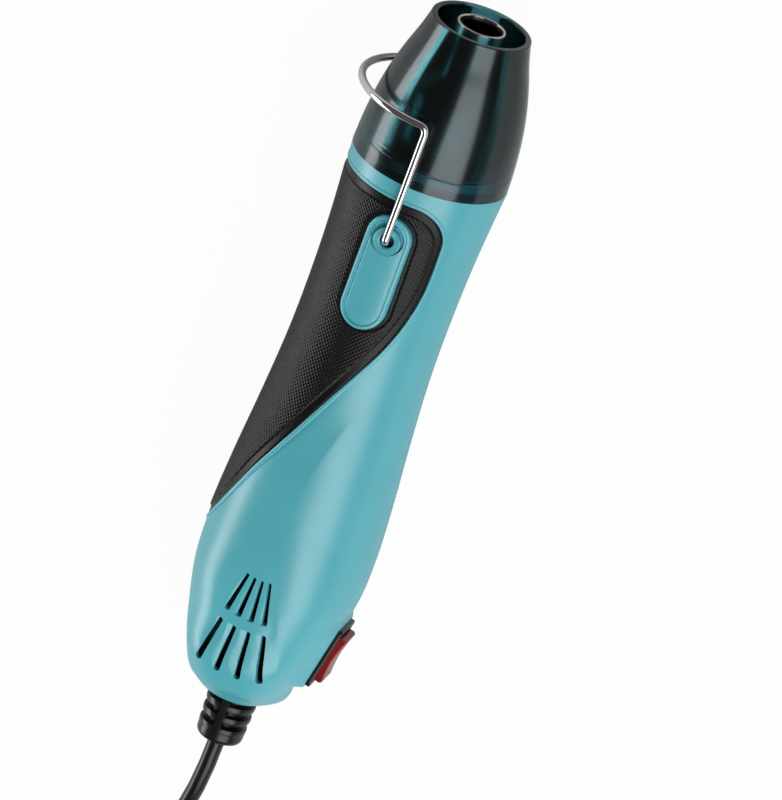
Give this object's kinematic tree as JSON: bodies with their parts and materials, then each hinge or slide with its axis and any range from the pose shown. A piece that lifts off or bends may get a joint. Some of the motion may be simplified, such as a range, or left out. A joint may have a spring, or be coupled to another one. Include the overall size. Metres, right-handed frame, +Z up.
{
  "type": "embossing heat tool",
  "caption": "Handheld hot-air embossing tool with tinted nozzle shroud, swinging wire stand, studded grip, rocker switch and power cord.",
  "frame": {"origin": "middle of the underside of the tool's box, without its cord; the tool lies on its side on the wire's lower leg and the flat vent panel", "axes": "+X along the tool towards the nozzle, +Y towards the side of the grip and the stand's arch, +Z up"},
  "size_m": [0.3578, 0.0781, 0.0504],
  "materials": {
    "teal_plastic": "satin",
    "tinted_shroud": "gloss",
    "black_rubber": "matt, studded",
    "black_plastic": "satin",
    "red_plastic": "gloss",
    "cord_sheath": "satin",
    "barrel_steel": "drawn",
    "stand_wire": "polished",
    "machine_steel": "turned",
    "magnet": "sintered",
    "armature": "stacked sheets",
    "mica": "scaly",
    "heater_wire": "drawn",
    "fuse": "drawn",
    "high_heat_plastic": "matt",
    "board": "matt",
    "tinned_brass": "bright",
    "lead_sleeve": "satin"
  },
  "bodies": {
    "housing": {"upper_shell": "teal_plastic", "lower_shell": "teal_plastic", "grip_upper": "black_rubber", "grip_lower": "black_rubber", "pivot_plate_upper": "teal_plastic", "pivot_plate_lower": "teal_plastic", "case_screws": "machine_steel", "nozzle_shroud": "tinted_shroud", "heat_barrel": "barrel_steel", "barrel_holder": "high_heat_plastic", "mica_sleeve": "mica", "mica_cross": "mica", "heater_coil": "heater_wire", "thermal_fuse": "fuse", "motor_mount": "high_heat_plastic", "motor_screws": "machine_steel", "motor_can": "machine_steel", "motor_end_cap": "black_plastic", "motor_magnets": "magnet", "rectifier_board": "board", "rectifier_diodes": "black_plastic", "motor_tabs": "tinned_brass", "heater_leads": "lead_sleeve", "supply_leads": "lead_sleeve", "switch_body": "black_plastic", "switch_terminals": "tinned_brass", "strain_relief": "black_rubber", "cord_sheath": "cord_sheath", "cord_clamp": "black_plastic", "clamp_screws": "machine_steel", "power_cord": "cord_sheath", "cord_coil": "cord_sheath", "plug_body": "cord_sheath", "plug_blades": "tinned_brass"},
    "stand": {"wire_stand": "stand_wire"},
    "rocker": {"rocker": "red_plastic"},
    "rotor": {"motor_shaft": "machine_steel", "motor_armature": "armature", "fan_impeller": "black_plastic"}
  },
  "joints": [
    {"name": "stand_swing", "type": "hinge", "parent": "housing", "child": "stand", "pos_m": [0.0517, -0.00141, 0.02521], "axis": [0, 0, 1], "range_deg": [-6, 108]},
    {"name": "rocker_tilt", "type": "hinge", "parent": "housing", "child": "rocker", "pos_m": [-0.07479, -0.02083, 0.02521], "axis": [0, 0, 1], "range_deg": [-6, 6]},
    {"name": "motor_spin", "type": "hinge", "parent": "housing", "child": "rotor", "pos_m": [-0.0057, -0.00141, 0.02521], "axis": [1, 0, 0], "continuous": true}
  ]
}
